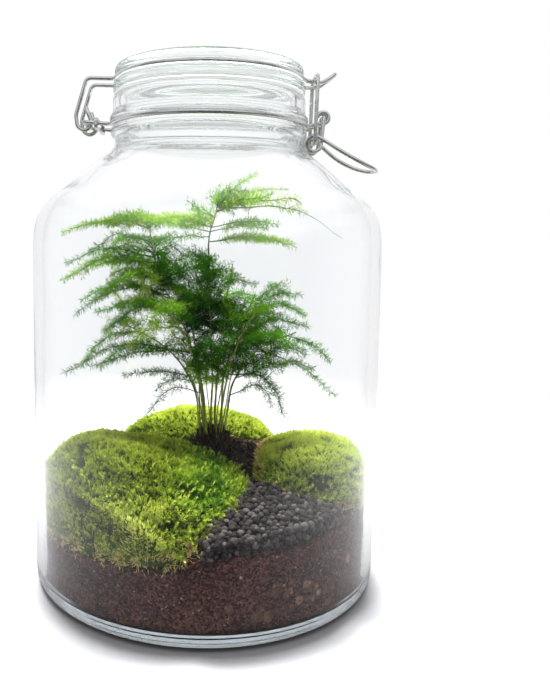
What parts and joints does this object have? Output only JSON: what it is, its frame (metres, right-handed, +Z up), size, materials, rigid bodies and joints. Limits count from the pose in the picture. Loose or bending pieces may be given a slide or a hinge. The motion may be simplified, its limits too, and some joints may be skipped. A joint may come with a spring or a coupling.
{
  "type": "glass plant terrarium",
  "caption": "Round clip-top glass jar planted as a closed terrarium: asparagus fern, moss mounds and dark gravel on soil, with a hinged wire-latched glass lid.",
  "frame": {"origin": "centre of the jar's base, on the surface it stands on", "axes": "+Z up along the jar's axis, +X from the lid's hinge towards its latch, -Y the front that the picture shows"},
  "size_m": [0.1858, 0.1858, 0.2688],
  "materials": {
    "clear_glass": "gloss",
    "closure_wire": "satin",
    "seal_rubber": "satin",
    "potting_soil": "matte",
    "black_gravel": "satin",
    "moss": "matte",
    "crown_bark": "matte",
    "fern_stem": "satin",
    "fern_leaf": "satin"
  },
  "bodies": {
    "jar": {"jar_body": "clear_glass", "neck_wire": "closure_wire", "neck_wire_clip": "closure_wire", "soil": "potting_soil", "gravel_patch": "black_gravel", "moss_front": "moss", "moss_right": "moss", "moss_back": "moss", "root_crown": "crown_bark", "stem_centre": "fern_stem", "stem_tall_left": "fern_stem", "stem_right": "fern_stem", "stem_back": "fern_stem", "stem_back_left": "fern_stem", "stem_front_right": "fern_stem", "stem_front_left": "fern_stem", "stem_low_right": "fern_stem", "stem_low_left": "fern_stem", "spray_top": "fern_leaf", "spray_top_right": "fern_leaf", "spray_upper_left": "fern_leaf", "spray_upper_left_back": "fern_leaf", "spray_upper_right": "fern_leaf", "spray_mid_left": "fern_leaf", "spray_mid_centre": "fern_leaf", "spray_mid_left_low": "fern_leaf", "spray_mid_right": "fern_leaf", "spray_mid_back": "fern_leaf", "spray_heart": "fern_leaf", "spray_left": "fern_leaf", "spray_right": "fern_leaf", "spray_heart_low": "fern_leaf", "spray_low_right": "fern_leaf", "spray_low_left": "fern_leaf", "spray_skirt": "fern_leaf", "spray_drip_left": "fern_leaf", "spray_drip_right": "fern_leaf"},
    "lid": {"lid": "clear_glass", "gasket": "seal_rubber", "lid_wire": "closure_wire"},
    "lever": {"closure_lever": "closure_wire"},
    "bail": {"closure_bail": "closure_wire"}
  },
  "joints": [
    {"name": "lid_hinge", "type": "hinge", "parent": "jar", "child": "lid", "pos_m": [-0.064, 0, 0.2406], "axis": [0, -1, 0], "range_deg": [0, 105]},
    {"name": "lever_pivot", "type": "hinge", "parent": "jar", "child": "lever", "pos_m": [0.0594, 0, 0.2452], "axis": [0, -1, 0], "range_deg": [0, 110]},
    {"name": "bail_pivot", "type": "hinge", "parent": "lever", "child": "bail", "pos_m": [0.0545, 0, 0.2316], "axis": [0, 1, 0], "range_deg": [0, 68]}
  ],
  "couplings": [
    {"joint": "bail_pivot", "follows": "lever_pivot", "ratio": 0.6}
  ]
}
